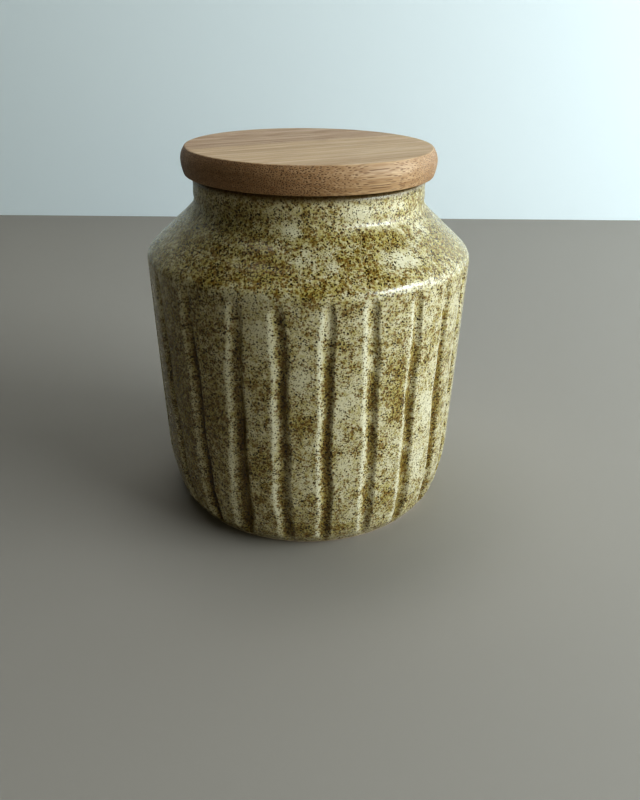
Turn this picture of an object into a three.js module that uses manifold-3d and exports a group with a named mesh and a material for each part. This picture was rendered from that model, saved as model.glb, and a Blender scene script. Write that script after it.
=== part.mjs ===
// Stoneware storage canister: a thrown jar with carved flutes, and a wooden lid that pushes into its neck.
// Millimetres, +Z up. The origin is the centre of the foot, on the surface that the jar stands on.
// Azimuths are counted from the front, at -Y, towards +X.

import * as THREE from "three";
import { mergeVertices } from "three/addons/utils/BufferGeometryUtils.js";
import Module from "manifold-3d";

const wasm = await Module();
wasm.setup();

// Jar, outside. Base, shoulder and neck sizes run to the sharp corners that the roundings take off.
const JAR_HEIGHT = 152.5;
const FOOT_DIAMETER = 123;
const FOOT_RING_WIDTH = 8;
const FOOT_RECESS = 2.5;
const BASE_DIAMETER = 139;
const BASE_BEVEL_HEIGHT = 9;
const BASE_ROUNDING = 24;
const SHOULDER_DIAMETER = 144.4;
const SHOULDER_RISE = 19.5;
const SHOULDER_ROUNDING = 8;
const NECK_DIAMETER = 101;
const NECK_LENGTH = 13;
const NECK_ROUNDING = 7;
const EDGE_ROUNDING = 1.5;

// Jar, inside
const WALL = 6;
const FLOOR = 7;
const FLOOR_ROUNDING = 10;
const NECK_WALL = 5.5;

// Flutes, carved by hand: turns from an even spacing are in degrees, and widths run from lip to lip
const FLUTE_COUNT = 24;
const FLUTE_FRONT_AZIMUTH = 5.8;
const FLUTE_TURN = 0.8;
const FLUTE_LEAN = 1.4;
const FLUTE_LEAN_SPREAD = 0.8;
const FLUTE_TOP_WIDTH = 6.4;
const FLUTE_FOOT_WIDTH = 7.6;
const FLUTE_WIDTH_SPREAD = 0.5;
const FLUTE_FLOOR_SHARE = 0.18;
const FLUTE_DEPTH_SHARE = 0.33;
const FLUTE_TOP_SHARE = 0.62;
const FLUTE_TOP_GAP = 1.6;
const FLUTE_TOP_RUNOUT = 6;
const FLUTE_DEEPENING = 32;
const FLUTE_FOOT_RUNOUT = 9;

// How fast the flutes' turns and widths sway away from the front, in radians from each flute to the next
const FLUTE_SWAY = { topTurn: 2.4, lean: 3.9, topWidth: 1.3, footWidth: 5.1 };

// The flutes at the front, counted from the middle one, with the turns and widths that were carved there
const FRONT_FLUTES = new Map([
  [-5, { topTurn: -5.5, footTurn: -1.0, topWidth: 6.2, footWidth: 6.6 }],
  [-4, { topTurn: -7.7, footTurn: 0.6, topWidth: 6.4, footWidth: 6.4 }],
  [-3, { topTurn: -4.4, footTurn: 0.3, topWidth: 7.0, footWidth: 8.2 }],
  [-2, { topTurn: 0.8, footTurn: -0.9, topWidth: 6.4, footWidth: 10.6 }],
  [-1, { topTurn: -0.3, footTurn: 1.0, topWidth: 6.8, footWidth: 8.0 }],
  [0, { topTurn: -0.1, footTurn: 0.3, topWidth: 6.3, footWidth: 6.5 }],
  [1, { topTurn: -0.7, footTurn: 1.6, topWidth: 6.8, footWidth: 7.0 }],
  [2, { topTurn: 0.7, footTurn: 2.2, topWidth: 6.0, footWidth: 7.8 }],
  [3, { topTurn: 0.3, footTurn: 3.7, topWidth: 5.6, footWidth: 8.0 }],
]);

// Lid
const LID_OVERHANG = 4.2;
const LID_THICKNESS = 11;
const LID_TOP_ROUNDING = 3;
const LID_UNDER_ROUNDING = 4;
const GRAIN_ANGLE = 30;
const GLUE_LINE_OFFSET = 8;
const GLUE_LINE_GAP = 0.3;

// Plug and seal
const PLUG_DEPTH = 12;
const PLUG_CLEARANCE = 2.5;
const GROOVE_HEIGHT = 6;
const GROOVE_DEPTH = 3;
const SEAL_FIT = 0.3;
const SEAL_BAND = 2;
const SEAL_LIP_PITCH = 1.75;
const SEAL_LIP_ROOT = 1.2;
const SEAL_LIP_TIP = 0.7;
const SEAL_LIP_RISE = 0.4;
const SEAL_CLEARANCE = 0.3;

// Facets: degrees of arc for each facet of a rounding, the share of a straight side that roundings may
// take, rows along each stretch where a flute fades, and columns around the lid and its plug
const ARC_STEP = 30;
const ROUNDING_ROOM = 0.98;
const FADE_ROWS = 3;
const LID_COLUMNS = 84;
const PLUG_COLUMNS = 60;

const footRadius = FOOT_DIAMETER / 2;
const baseRadius = BASE_DIAMETER / 2;
const shoulderRadius = SHOULDER_DIAMETER / 2;
const neckRadius = NECK_DIAMETER / 2;
const mouthRadius = neckRadius - NECK_WALL;
const rimRadius = (neckRadius + mouthRadius) / 2;
const neckHeight = JAR_HEIGHT - NECK_LENGTH;
const shoulderHeight = neckHeight - SHOULDER_RISE;
const floorHeight = FOOT_RECESS + FLOOR;
const fluteTop = shoulderHeight - FLUTE_TOP_GAP;
const lidRadius = neckRadius + LID_OVERHANG;
const plugRadius = mouthRadius - PLUG_CLEARANCE;
const grooveRadius = plugRadius - GROOVE_DEPTH;

// A corner of a profile, with the radius of the arc that rounds it.
function corner(radius, height, rounding = 0) {
  return Object.assign(new THREE.Vector2(radius, height), { rounding });
}

// The points of a profile, each rounded corner as an arc that touches both of its sides.
// A rounding that its sides have no room for is made as large as they allow.
function roundedProfile(corners) {
  return corners.flatMap((here, i) => {
    if (!here.rounding) return [here.clone()];
    const before = corners[i - 1];
    const after = corners[i + 1];
    const back = before.clone().sub(here).normalize();
    const ahead = after.clone().sub(here).normalize();
    const halfAngle = Math.acos(THREE.MathUtils.clamp(back.dot(ahead), -1, 1)) / 2;
    const shares = [before, after].map((next) => (next.rounding ? ROUNDING_ROOM / 2 : ROUNDING_ROOM));
    const rooms = [before.distanceTo(here) * shares[0], after.distanceTo(here) * shares[1]];
    const reach = Math.min(here.rounding / Math.tan(halfAngle), ...rooms);
    const radius = reach * Math.tan(halfAngle);
    const bisector = back.clone().add(ahead).normalize();
    const middle = bisector.multiplyScalar(radius / Math.sin(halfAngle)).add(here);
    const from = back.multiplyScalar(reach).add(here).sub(middle).angle();
    const to = ahead.multiplyScalar(reach).add(here).sub(middle).angle();
    const clockwise = THREE.MathUtils.euclideanModulo(to - from, 2 * Math.PI) > Math.PI;
    const arc = new THREE.EllipseCurve(middle.x, middle.y, radius, radius, from, to, clockwise);
    const sweep = THREE.MathUtils.radToDeg(Math.PI - 2 * halfAngle);
    return arc.getPoints(Math.ceil(sweep / ARC_STEP));
  });
}

// The same profile with further points where it crosses the given heights.
function crossedAt(points, heights) {
  return points.flatMap((here, i) => {
    const next = points[i + 1];
    if (!next) return [here];
    const shares = heights.map((height) => (height - here.y) / (next.y - here.y));
    const crossings = shares.filter((share) => share > 0 && share < 1).sort((a, b) => a - b);
    return [here, ...crossings.map((share) => here.clone().lerp(next, share))];
  });
}

// The geometry with nothing but its corner positions, shared where faces meet.
function seamless(geometry) {
  geometry.deleteAttribute("normal");
  geometry.deleteAttribute("uv");
  return mergeVertices(geometry);
}

// A lathe geometry turned to stand on Z.
function standing(lathe) {
  return seamless(lathe.rotateX(Math.PI / 2));
}

function revolved(corners, columns) {
  return standing(new THREE.LatheGeometry(roundedProfile(corners), columns));
}

function solidOf(geometry) {
  const vertProperties = geometry.getAttribute("position").array;
  const triVerts = new Uint32Array(geometry.index.array);
  return new wasm.Manifold(new wasm.Mesh({ numProp: 3, vertProperties, triVerts }));
}

function geometryOf(solid) {
  const { vertProperties, triVerts } = solid.getMesh();
  const geometry = new THREE.BufferGeometry();
  geometry.setAttribute("position", new THREE.BufferAttribute(vertProperties, 3));
  return geometry.setIndex(new THREE.BufferAttribute(triVerts, 1));
}

function addPiece(group, name, geometry, color, roughness) {
  const material = new THREE.MeshStandardMaterial({ color, roughness, metalness: 0 });
  const piece = new THREE.Mesh(geometry, material);
  piece.name = name;
  group.add(piece);
}

// The share of the full flute depth at a height: it fades out at the foot and just under the shoulder.
function fluteShare(height) {
  const below = fluteTop - height;
  const fromTop = THREE.MathUtils.smoothstep(below, 0, FLUTE_TOP_RUNOUT);
  const fromFoot = THREE.MathUtils.smoothstep(height, 0, FLUTE_FOOT_RUNOUT);
  const deepening = THREE.MathUtils.smoothstep(below, 0, FLUTE_DEEPENING);
  return fromTop * fromFoot * THREE.MathUtils.lerp(FLUTE_TOP_SHARE, 1, deepening);
}

// A flute's turns and widths. Away from the front they sway from flute to flute.
function fluteCut(flute) {
  const place = flute < FLUTE_COUNT / 2 ? flute : flute - FLUTE_COUNT;
  if (FRONT_FLUTES.has(place)) return FRONT_FLUTES.get(place);
  const topTurn = FLUTE_TURN * Math.sin(FLUTE_SWAY.topTurn * flute);
  return {
    topTurn,
    footTurn: topTurn + FLUTE_LEAN + FLUTE_LEAN_SPREAD * Math.sin(FLUTE_SWAY.lean * flute),
    topWidth: FLUTE_TOP_WIDTH + FLUTE_WIDTH_SPREAD * Math.sin(FLUTE_SWAY.topWidth * flute),
    footWidth: FLUTE_FOOT_WIDTH + FLUTE_WIDTH_SPREAD * Math.sin(FLUTE_SWAY.footWidth * flute),
  };
}

// The jar's section from the middle of its underside to the foot ring.
function jarUnderside() {
  const ringRadius = footRadius - FOOT_RING_WIDTH;
  return [corner(0, FOOT_RECESS), corner(ringRadius - FOOT_RECESS, FOOT_RECESS), corner(ringRadius, 0)];
}

// The section from the foot's outer edge to the middle of the rim, with rows where the flutes fade.
function jarOutside() {
  const outside = roundedProfile([
    corner(footRadius, 0),
    corner(baseRadius, BASE_BEVEL_HEIGHT, BASE_ROUNDING),
    corner(shoulderRadius, shoulderHeight, SHOULDER_ROUNDING),
    corner(neckRadius, neckHeight, NECK_ROUNDING),
    corner(neckRadius, JAR_HEIGHT, EDGE_ROUNDING),
    corner(rimRadius, JAR_HEIGHT),
  ]);
  const fades = Array.from({ length: FADE_ROWS + 1 }, (_, row) => row / FADE_ROWS);
  const runout = fades.map((share) => fluteTop - share * FLUTE_TOP_RUNOUT);
  const deepening = fades.slice(1).map((share) => fluteTop - share * FLUTE_DEEPENING);
  const footRunout = fades.slice(1).map((share) => share * FLUTE_FOOT_RUNOUT);
  return crossedAt(outside, [...footRunout, ...deepening, ...runout]);
}

// The section from the rim down to the middle of the floor. The shoulder is as thick as the wall.
function jarInside() {
  const slope = Math.atan2(shoulderRadius - neckRadius, SHOULDER_RISE);
  const insideShoulderRadius = shoulderRadius - WALL;
  const insideShoulderHeight = shoulderHeight - WALL * Math.tan(slope / 2);
  const insideRise = (insideShoulderRadius - mouthRadius) / Math.tan(slope);
  const inside = roundedProfile([
    corner(rimRadius, JAR_HEIGHT),
    corner(mouthRadius, JAR_HEIGHT, EDGE_ROUNDING),
    corner(mouthRadius, insideShoulderHeight + insideRise, NECK_ROUNDING),
    corner(insideShoulderRadius, insideShoulderHeight, SHOULDER_ROUNDING),
    corner(baseRadius - WALL, floorHeight, FLOOR_ROUNDING),
    corner(0, floorHeight),
  ]);
  return inside.slice(1);
}

// Where a flute runs at a height: its middle's azimuth, half of its width as an angle, and its depth there.
function fluteAt(flute, height) {
  const down = 1 - THREE.MathUtils.clamp(height / shoulderHeight, 0, 1);
  const cut = fluteCut(flute % FLUTE_COUNT);
  const turn = THREE.MathUtils.lerp(cut.topTurn, cut.footTurn, down);
  const width = THREE.MathUtils.lerp(cut.topWidth, cut.footWidth, down);
  return {
    middle: THREE.MathUtils.degToRad(FLUTE_FRONT_AZIMUTH + (flute * 360) / FLUTE_COUNT + turn),
    half: width / 2 / shoulderRadius,
    depth: width * FLUTE_DEPTH_SHARE * fluteShare(height),
  };
}

// The columns of one flute at a height, and one in the middle of the panel to its right.
function fluteColumns(flute, height) {
  const { middle, half, depth } = fluteAt(flute, height);
  const next = fluteAt(flute + 1, height);
  const floor = FLUTE_FLOOR_SHARE * half;
  return [
    { azimuth: middle - half, depth: 0 },
    { azimuth: middle - floor, depth },
    { azimuth: middle + floor, depth },
    { azimuth: middle + half, depth: 0 },
    { azimuth: (middle + half + next.middle - next.half) / 2, depth: 0 },
  ];
}

// One row of the jar's columns all the way round.
function jarRow(height) {
  const flutes = Array.from({ length: FLUTE_COUNT }, (_, flute) => fluteColumns(flute, height));
  return flutes.flat();
}

// The jar in one piece: its whole section revolved, with the flutes pressed into the outer wall.
function jarGeometry() {
  const underside = jarUnderside();
  const outside = jarOutside();
  const inside = jarInside();
  const profile = [...underside, ...outside, ...inside];
  const rows = [
    ...underside.map(() => jarRow(0)),
    ...outside.map((point) => jarRow(point.y)),
    ...inside.map(() => jarRow(JAR_HEIGHT)),
  ];
  const lathe = new THREE.LatheGeometry(profile, rows[0].length);
  const position = lathe.getAttribute("position");
  for (let vertex = 0; vertex < position.count; vertex += 1) {
    const row = vertex % profile.length;
    const around = Math.floor(vertex / profile.length) % rows[row].length;
    const { azimuth, depth } = rows[row][around];
    const radius = profile[row].x - depth;
    position.setXYZ(vertex, radius * Math.sin(azimuth), profile[row].y, radius * Math.cos(azimuth));
  }
  return standing(lathe);
}

// The lid's two staves: one turned disc, parted along the glue line. Local X runs along the grain.
function staveGeometries() {
  const disc = solidOf(
    revolved(
      [
        corner(0, 0),
        corner(lidRadius, 0, LID_UNDER_ROUNDING),
        corner(lidRadius, LID_THICKNESS, LID_TOP_ROUNDING),
        corner(0, LID_THICKNESS),
      ],
      LID_COLUMNS,
    ),
  );
  const side = 4 * lidRadius;
  const half = (y) => solidOf(seamless(new THREE.BoxGeometry(side, side, side).translate(0, y, 0)));
  const frontEdge = GLUE_LINE_OFFSET - GLUE_LINE_GAP / 2;
  const backEdge = GLUE_LINE_OFFSET + GLUE_LINE_GAP / 2;
  return {
    front: geometryOf(disc.intersect(half(frontEdge - side / 2))),
    back: geometryOf(disc.intersect(half(backEdge + side / 2))),
  };
}

// The plug under the lid, with the groove that holds the seal. Its glued face is at local height 0.
function plugGeometry() {
  const grooveTop = (GROOVE_HEIGHT - PLUG_DEPTH) / 2;
  const grooveFoot = grooveTop - GROOVE_HEIGHT;
  return revolved(
    [
      corner(0, -PLUG_DEPTH),
      corner(plugRadius, -PLUG_DEPTH, EDGE_ROUNDING),
      corner(plugRadius, grooveFoot),
      corner(grooveRadius, grooveFoot),
      corner(grooveRadius, grooveTop),
      corner(plugRadius, grooveTop),
      corner(plugRadius, 0),
      corner(0, 0),
    ],
    PLUG_COLUMNS,
  );
}

// The sealing ring: a band in the plug's groove, with lips that rise a little towards the neck's bore.
function sealGeometry() {
  const height = GROOVE_HEIGHT - 2 * SEAL_FIT;
  const foot = -PLUG_DEPTH / 2 - height / 2;
  const innerRadius = grooveRadius + SEAL_FIT;
  const bandRadius = innerRadius + SEAL_BAND;
  const tipRadius = mouthRadius - SEAL_CLEARANCE;
  const lipCount = Math.max(1, Math.floor(height / SEAL_LIP_PITCH));
  const lowestLip = -PLUG_DEPTH / 2 - ((lipCount - 1) * SEAL_LIP_PITCH) / 2;
  const lipMiddles = Array.from({ length: lipCount }, (_, i) => lowestLip + i * SEAL_LIP_PITCH);
  const lips = lipMiddles.flatMap((middle) => [
    corner(bandRadius, middle - SEAL_LIP_ROOT / 2),
    corner(tipRadius, middle + SEAL_LIP_RISE - SEAL_LIP_TIP / 2),
    corner(tipRadius, middle + SEAL_LIP_RISE + SEAL_LIP_TIP / 2),
    corner(bandRadius, middle + SEAL_LIP_ROOT / 2),
  ]);
  return revolved(
    [
      corner(innerRadius, foot),
      corner(bandRadius, foot),
      ...lips,
      corner(bandRadius, foot + height),
      corner(innerRadius, foot + height),
      corner(innerRadius, foot),
    ],
    PLUG_COLUMNS,
  );
}

const canister = new THREE.Group();
addPiece(canister, "jar_body", jarGeometry(), 0xb8a978, 0.4);

const lid = new THREE.Group();
lid.position.z = JAR_HEIGHT;
lid.rotation.z = THREE.MathUtils.degToRad(GRAIN_ANGLE);
const staves = staveGeometries();
addPiece(lid, "lid_stave_front", staves.front, 0xb08a66, 0.6);
addPiece(lid, "lid_stave_back", staves.back, 0xa27c58, 0.6);
addPiece(lid, "lid_plug", plugGeometry(), 0xb08a66, 0.7);
addPiece(lid, "lid_seal", sealGeometry(), 0xe6e3da, 0.5);
canister.add(lid);

export default canister;
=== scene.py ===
"""Stoneware storage canister with a wooden lid: the looks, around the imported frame.

Metres, +Z up, with the front at -Y. Azimuths are counted from the front towards +X.
"""
import math

import bmesh
import bpy
import numpy as np
from mathutils import Matrix, Vector


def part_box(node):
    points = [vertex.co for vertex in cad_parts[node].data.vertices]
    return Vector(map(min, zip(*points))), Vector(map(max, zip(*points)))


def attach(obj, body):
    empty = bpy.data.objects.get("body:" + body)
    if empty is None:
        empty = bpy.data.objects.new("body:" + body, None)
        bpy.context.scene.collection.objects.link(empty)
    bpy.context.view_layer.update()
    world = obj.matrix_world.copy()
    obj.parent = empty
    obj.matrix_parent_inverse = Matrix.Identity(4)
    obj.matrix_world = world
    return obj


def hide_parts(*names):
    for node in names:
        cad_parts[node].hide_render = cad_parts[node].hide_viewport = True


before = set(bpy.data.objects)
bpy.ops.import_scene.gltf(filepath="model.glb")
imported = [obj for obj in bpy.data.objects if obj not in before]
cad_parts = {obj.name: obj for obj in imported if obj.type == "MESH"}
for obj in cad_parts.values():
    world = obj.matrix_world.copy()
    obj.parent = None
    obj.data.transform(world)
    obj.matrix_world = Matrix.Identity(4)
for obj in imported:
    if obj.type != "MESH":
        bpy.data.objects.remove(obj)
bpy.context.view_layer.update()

MM = 0.001
JAR_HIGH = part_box("jar_body")[1]
FRONT_LOW, FRONT_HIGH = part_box("lid_stave_front")
BACK_LOW, BACK_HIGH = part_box("lid_stave_back")
PLUG_LOW, PLUG_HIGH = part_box("lid_plug")
SEAL_LOW, SEAL_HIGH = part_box("lid_seal")

# Jar sizes that the frame's boxes don't give
FOOT_RADIUS = 61.5 * MM
FOOT_RING_WIDTH = 8 * MM
FOOT_RECESS = 2.5 * MM
RECESS_ROUNDING = 1.5 * MM
FOOT_ROUNDING = 0.8 * MM
BEVEL_RADIUS = 66.2 * MM
BEVEL_HEIGHT = 6 * MM
BEVEL_ROUNDING = 14 * MM
BASE_RADIUS = 69.7 * MM
BASE_HEIGHT = 24 * MM
BASE_ROUNDING = 60 * MM
SHOULDER_RADIUS = 72.2 * MM
SHOULDER_RISE = 19.5 * MM
SHOULDER_ROUNDING = 6 * MM
NECK_RADIUS = 50.5 * MM
NECK_LENGTH = 13 * MM
NECK_ROUNDING = 7 * MM
NECK_WALL = 5.5 * MM
WALL = 6 * MM
FLOOR_HEIGHT = 9.5 * MM
FLOOR_ROUNDING = 10 * MM
EDGE_ROUNDING = 1.5 * MM
RIM_ROUNDING = 2.4 * MM
RIM_DROP = 0.7 * MM
RIM_HEIGHT = JAR_HIGH.z - RIM_DROP
NECK_HEIGHT = JAR_HIGH.z - NECK_LENGTH
SHOULDER_HEIGHT = NECK_HEIGHT - SHOULDER_RISE
MOUTH_RADIUS = NECK_RADIUS - NECK_WALL

# Flutes, carved by hand. Turns from an even spacing are in degrees, and widths run from lip to lip.
FLUTE_COUNT = 24
FLUTE_FRONT_AZIMUTH = math.radians(5.8)
FLUTE_TURN = 0.8
FLUTE_LEAN = 1.4
FLUTE_LEAN_SPREAD = 0.8
FLUTE_TOP_WIDTH = 6.4 * MM
FLUTE_FOOT_WIDTH = 7.6 * MM
FLUTE_WIDTH_SPREAD = 0.5 * MM
# How fast the turns and widths sway away from the front, in radians from each flute to the next
TOP_TURN_SWAY, LEAN_SWAY, TOP_WIDTH_SWAY, FOOT_WIDTH_SWAY = 2.4, 3.9, 1.3, 5.1
# The flutes that show in the photograph, counted from the middle one: turns at the top and at the foot,
# widths there in millimetres, depth as a share of the width, and how much glaze has gathered in it
SEEN_FLUTES = {
    # The high glaze of flutes -5 to -3, on the shaded left, darkens them as painted shade as well as pooled
    # glaze
    -5: (-5.5, -1.0, 6.2, 6.6, 0.38, 2.4),
    -4: (-7.7, 0.6, 6.4, 6.4, 0.40, 2.8),
    -3: (-4.4, 0.3, 7.0, 8.2, 0.38, 3.0),
    -2: (0.8, -0.9, 6.4, 10.6, 0.28, 1.4),
    -1: (-0.3, 1.0, 6.8, 8.0, 0.25, 1.2),
    0: (-0.1, 0.3, 6.3, 6.5, 0.23, 1.0),
    1: (-0.7, 1.6, 6.8, 7.0, 0.23, 0.7),
    2: (0.7, 2.2, 6.0, 7.8, 0.25, 1.0),
    3: (0.3, 3.7, 5.6, 8.0, 0.27, 1.0)}
FLUTE_DEPTH_SHARE = 0.3
# Section of a flute in half widths: the reach of its columns, its lips, its blunt root, how far the root lies
# to the right, and the softness of each lip
FLUTE_REACH = 1.45
FLUTE_LIP = 1.05
FLUTE_ROOT = 0.5
FLUTE_SKEW = 0.15
FLUTE_LEFT_SOFTNESS = 0.36
FLUTE_RIGHT_SOFTNESS = 0.16
# Ends of a flute, with the shares of its depth and width that are left there
FLUTE_TOP_GAP = 1.6 * MM
FLUTE_TOP_SPREAD = 1.2 * MM
FLUTE_TOP_RUNOUT = 6 * MM
FLUTE_TOP_SHARE = 0.78
FLUTE_DEEPENING = 32 * MM
FLUTE_FOOT_RUNOUT = 9 * MM
FLUTE_END_WIDTH = 0.45
# How a flute wavers along its length: sideways, in fine nicks, in depth and in width, with the wavelengths
FLUTE_SEED = 11
FLUTE_WAVER, WAVER_WAVES = 0.4 * MM, (95 * MM, 41 * MM)
FLUTE_NICKS, NICK_WAVES = 0.07 * MM, (9.5 * MM, 4.7 * MM)
DEPTH_WAVER, DEPTH_WAVES = 0.1, (55 * MM, 21 * MM)
WIDTH_WAVER, WIDTH_WAVES = 0.08, (60 * MM, 23 * MM)
# Where glaze thins at a flute's left lip, which is also paler there as a painted highlight, and where it
# gathers across the flute and below its top
LIT_THIN_LIP, LIT_THIN_SPREAD = -0.95, 0.32
POOL_LEFT, POOL_RIGHT = (-0.6, 0.05), (0.5, 0.95)
POOL_BELOW = (4 * MM, 36 * MM)

# Unevenness of the thrown wall, set inward so that the jar stays inside the CAD box
THROWN_INSET = 0.3 * MM
EVEN_FOOT = 3 * MM
OUT_OF_ROUND = 0.16 * MM
ROUND_LOBES = ((2, 0.4), (3, 2.1), (5, 4.0), (7, 1.3))
LOBE_PITCH = 90 * MM
LOBE_FADE = 0.4
THROWING_RING = 0.1 * MM
THROWING_RING_PITCH = 6.5 * MM
THROWING_RING_SWAY = 0.9
RINGS_FROM_SHOULDER = (-2 * MM, 6 * MM)
RINGS_TO_RIM = (-4 * MM, -1 * MM)
NECK_LEDGE = 0.12 * MM
NECK_LEDGE_DROP = 2.2 * MM
NECK_LEDGE_SPREAD = 1.6 * MM
NECK_LEDGE_FADE = 0.4
NECK_LEDGE_TURN = 0.2

# Where the glaze gathers, or thins where the strength is below 0, as the photograph shows it, and where some
# entries are painted shade and painted light instead: azimuth in degrees, height, half width and half height
# in millimetres, and strength
PATCHES_AND_PAINTED_LIGHT = (
    # Wall and foot
    (-2, 66, 5, 4, 0.75), (31, 78, 5, 16, 0.5), (33, 69, 4, 6, 0.35), (15, 61, 2.5, 3, 0.4),
    (14, 101, 5, 9, 0.2), (-15, 46, 5, 7, 0.45), (-17, 82, 5, 7, 0.3), (55, 61, 5, 7, 0.6),
    (-33, 66, 5, 6, 0.35), (-52, 77, 5, 6, 0.35), (-4, 10, 7, 3.5, 0.5), (12, 11, 6, 3, 0.35),
    (31, 25, 4.5, 6, 0.4), (44, 91, 6, 10, 0.1), (-3, 84, 5, 8, -0.4), (12, 75, 5, 7, -0.4),
    (10.5, 59, 1.8, 2.5, -0.5), (46, 62, 6, 11, -0.6), (-16, 105, 5, 6, -0.4), (44, 36, 6, 8, -0.5),
    # The last two entries on the next line, broad ones at -42 and -62 degrees, brown the shaded left side as
    # painted shade
    (29, 42, 4, 5, -0.3), (13, 45, 4, 6, -0.25), (-42, 66, 18, 45, 0.42), (-62, 60, 16, 50, 0.52),
    # On the next line, the broad pale entry at 70 degrees makes the wall paler towards the right, and the
    # wide one at 0 degrees and 14 mm paints shade towards the foot
    (70, 75, 12, 45, -0.2), (0, 14, 60, 10, 0.15),
    # Shoulder and neck
    (58, 146, 9, 4, 0.35), (66, 130, 10, 8, 0.6), (0, 147, 22, 4, 0.15), (-14, 128, 6, 3.5, 0.6),
    (-31, 123, 9, 2, 0.35), (0, 120.5, 3.5, 2, 0.75), (-1, 140, 2, 3, 0.4), (21, 136.3, 7, 1.2, 0.5),
    (13, 129.5, 3, 2, 0.45), (53, 128, 5, 3, 0.5), (45, 141, 6, 2, 0.35), (-32, 144, 10, 4, 0.35),
    # The pale entry at 22 degrees and 145 mm on the next line paints the window's sheen on the neck
    (-20, 136, 5, 2, 0.3), (-6, 139, 6, 2, -0.6), (22, 145, 9, 4, -0.45), (-4, 130, 4, 2, -0.4),
    # The pale entry at 36 degrees and 128 mm on the next line paints the window's reflection on the shoulder
    (36, 128, 10, 3.5, -0.6), (8, 128, 3, 2, -0.4), (60, 136, 6, 3, -0.4))

# Lid
LID_RADIUS = max(FRONT_HIGH.x, -FRONT_LOW.y, -BACK_LOW.x, BACK_HIGH.y)
LID_TOP_INSET = 2.0 * MM
LID_TOP_ROUNDING = 0.8 * MM
LID_UNDER_INSET = 1.2 * MM
LID_UNDER_ROUNDING = 0.5 * MM
LID_BELLY_HEIGHT = 6.0 * MM
LID_BELLY_ROUNDING = 20 * MM
GRAIN_ANGLE = math.radians(30)
GLUE_LINE_OFFSET = 8 * MM
GLUE_LINE_GAP = 0.08 * MM
PLUG_ROUNDING = 0.4 * MM
GROOVE_HEIGHT = 6 * MM
GROOVE_DEPTH = 3 * MM
SEAL_FIT = 0.3 * MM
SEAL_BAND = 2 * MM
SEAL_LIP_PITCH = 1.75 * MM
SEAL_LIP_ROOT = 1.2 * MM
SEAL_LIP_TIP = 0.7 * MM
SEAL_LIP_RISE = 0.4 * MM
LIP_ROUNDING = 0.3 * MM

# Mesh fineness
FLUTE_COLUMNS = 24
PANEL_COLUMNS = 8
OUTER_ROW = 0.8 * MM
INNER_ROW = 3 * MM
LID_COLUMNS = 288
LID_ROW = 1.2 * MM
ARC_STEP = math.radians(9)
ROUNDING_ROOM = 0.98
CUT_TOLERANCE = 1e-7

# Noise in the materials: the range that most of it lies in, and the roughness of noise about 0
COMMON_NOISE = (0.3, 0.7)
SWAY_ROUGHNESS = 0.6

# Glaze colours: where it is thin and painted with a highlight, its ground, its grains, where it gathers in
# flutes, the painted shade under the lid at its rim, and bare clay
PALE_THIN_AND_LIT = (0.72, 0.68, 0.54)
CREAM, STRAW = (0.64, 0.575, 0.405), (0.45, 0.372, 0.14)
OCHRE, RUST = (0.26, 0.172, 0.025), (0.19, 0.088, 0.008)
UMBER, SOOT = (0.115, 0.056, 0.004), (0.022, 0.011, 0.001)
# The darkest pool colour reaches mostly the left-hand flutes, where it is painted shade as well as pooled
# glaze
AMBER, POOL_AND_SHADE_BROWN = (0.23, 0.15, 0.025), (0.04, 0.023, 0.003)
# The brown of the painted shade under the lid, at the neck's rim
RIM_PAINTED_SHADE = (0.11, 0.065, 0.02)
DARK_CLAY, PALE_CLAY = (0.58, 0.47, 0.37), (0.7, 0.59, 0.48)
# Iron makes the glaze brown: sizes and strengths of the noise in it, and how much of it settles on upward
# slopes, in pools, at the flutes' lips, where less of it paints a highlight, and in patches, some of which
# paint shade. Pepper has its own noise, and follows iron in part.
IRON_DRIFT, IRON_DRIFT_SHARE = 14 * MM, 0.9
IRON_CLOUD, IRON_CLOUD_SHARE = 4.5 * MM, 1.1
IRON_MOTTLE, IRON_MOTTLE_SHARE = 1.6 * MM, 1.8
IRON_UPWARD, IRON_POOL, IRON_LIT_LIP, IRON_PATCH_AND_PAINTED_LIGHT = 0.17, 0.45, -0.3, 0.8
PEPPER_DRIFT, PEPPER_DRIFT_SHARE, PEPPER_IRON = 6 * MM, 0.5, 0.5
# Noise that breaks up the pools in the flutes, and the thin glaze and painted highlight at their lips: its
# range, and what is left
POOL_NOISE, POOL_SHARES = (0.35, 0.6), (0.35, 1.0)
LIT_THIN_SIZE, LIT_THIN_NOISE, LIT_THIN_SHARES = 3 * MM, (0.3, 0.6), (0.05, 0.6)
# Ranges over which one thing turns into another: slope to upward, iron to straw and to grains, pool to amber
# and to the darkest brown, which also paints shade, thin glaze and painted-sheen patches to pale, and a
# grain's random number to its darker colour
UPWARD_SLOPE = (0.35, 0.75)
STRAW_IRON = (-0.4, 0.55)
GRAIN_IRON = (-0.45, 0.45)
AMBER_POOL, AMBER_SHARE = (0.0, 1.6), 0.8
POOL_AND_SHADE_RANGE, POOL_AND_SHADE_SHARE = (0.8, 1.9), 0.94
PALE_PATCH_AND_SHEEN, PALE_PATCH_AND_SHEEN_SHARE = (-0.6, -0.1), 0.3
DARK_GRAINS = (0.0, 0.6)
# Grains of iron and of pepper: cell, least and most size in cells, share, and their two colours
IRON_GRAINS = ((1.2 * MM, 0.2, 1.2, 0.75, OCHRE, RUST), (0.6 * MM, 0.4, 0.9, 0.7, OCHRE, UMBER))
PEPPER_GRAINS = ((0.7 * MM, 0.42, 0.82, 0.95, UMBER, SOOT), (1.3 * MM, 0.3, 0.56, 1.0, UMBER, SOOT))
GRAIN_CORE = 0.5
GRAIN_WARP_SIZE, GRAIN_WARP = 1.5 * MM, 0.35 * MM
GRAIN_TURN = (0.7, 0.4, 1.1)
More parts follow.
